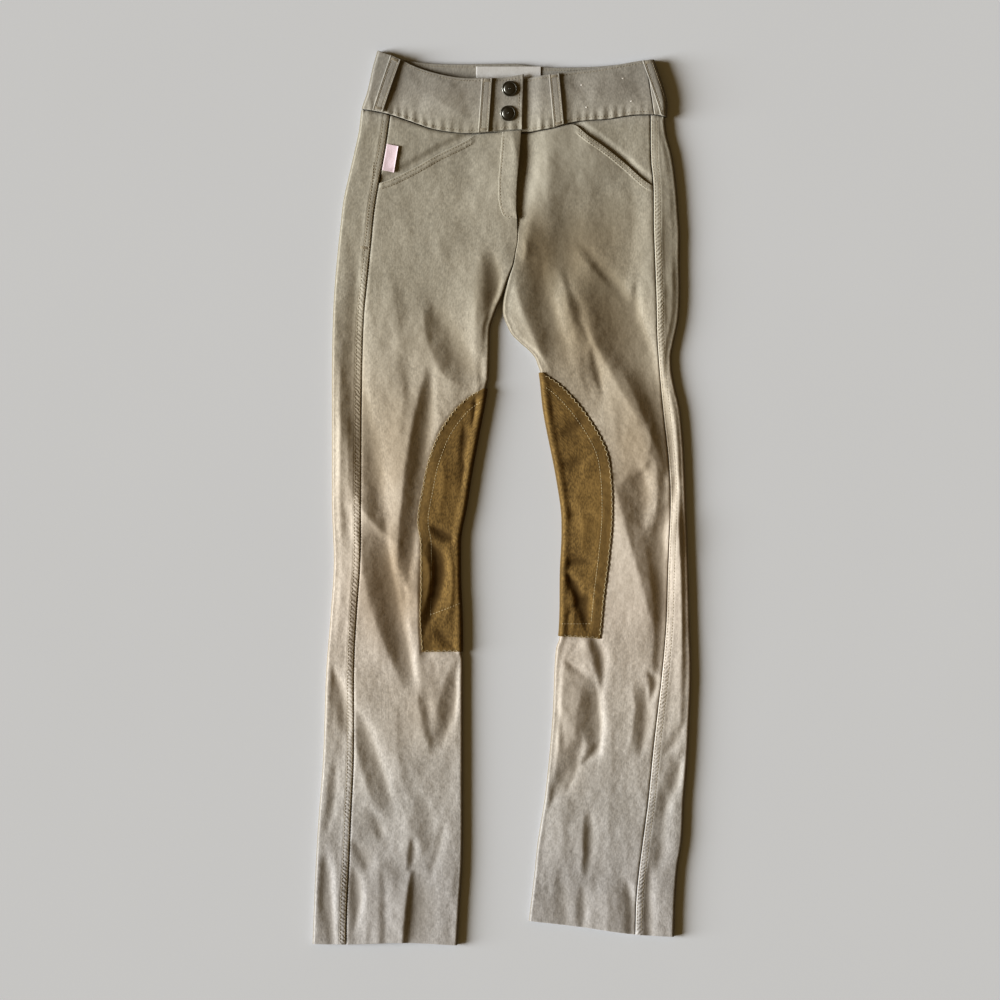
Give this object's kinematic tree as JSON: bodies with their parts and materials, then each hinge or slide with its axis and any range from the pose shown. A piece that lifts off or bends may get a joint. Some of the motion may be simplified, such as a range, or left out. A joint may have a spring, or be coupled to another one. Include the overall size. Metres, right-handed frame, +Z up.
{
  "type": "riding breeches",
  "caption": "Riding breeches laid flat: taupe stretch twill with a snap-front waistband, belt loops, slanted pockets, lapped side seams and suede knee patches, worn in the saddle.",
  "frame": {"origin": "centre of the garment's outline, on the surface that it lies on", "axes": "+X towards the wearer's left, +Y up the garment towards the waist, +Z up off the surface, front of the garment up"},
  "size_m": [0.4011, 0.9473, 0.0118],
  "materials": {
    "twill": "matte taupe stretch twill",
    "suede": "brushed olive-brown suede",
    "snap_metal": "dark gunmetal, satin",
    "label_tape": "woven tape, plain"
  },
  "bodies": {
    "root": {"back_panel_left": "twill", "back_panel_right": "twill", "front_panel_left": "twill", "front_panel_right": "twill", "waistband_back": "twill", "waistband_front_left": "twill", "waistband_front_right": "twill", "belt_loop_side_right": "twill", "belt_loop_front_right": "twill", "belt_loop_front_left": "twill", "belt_loop_side_left": "twill", "pocket_facing_left": "twill", "pocket_facing_right": "twill", "fly_placket": "twill", "knee_patch_left": "suede", "knee_patch_right": "suede", "snap_cap_upper": "snap_metal", "snap_cap_lower": "snap_metal", "neck_label": "label_tape", "side_label": "label_tape"}
  },
  "joints": []
}
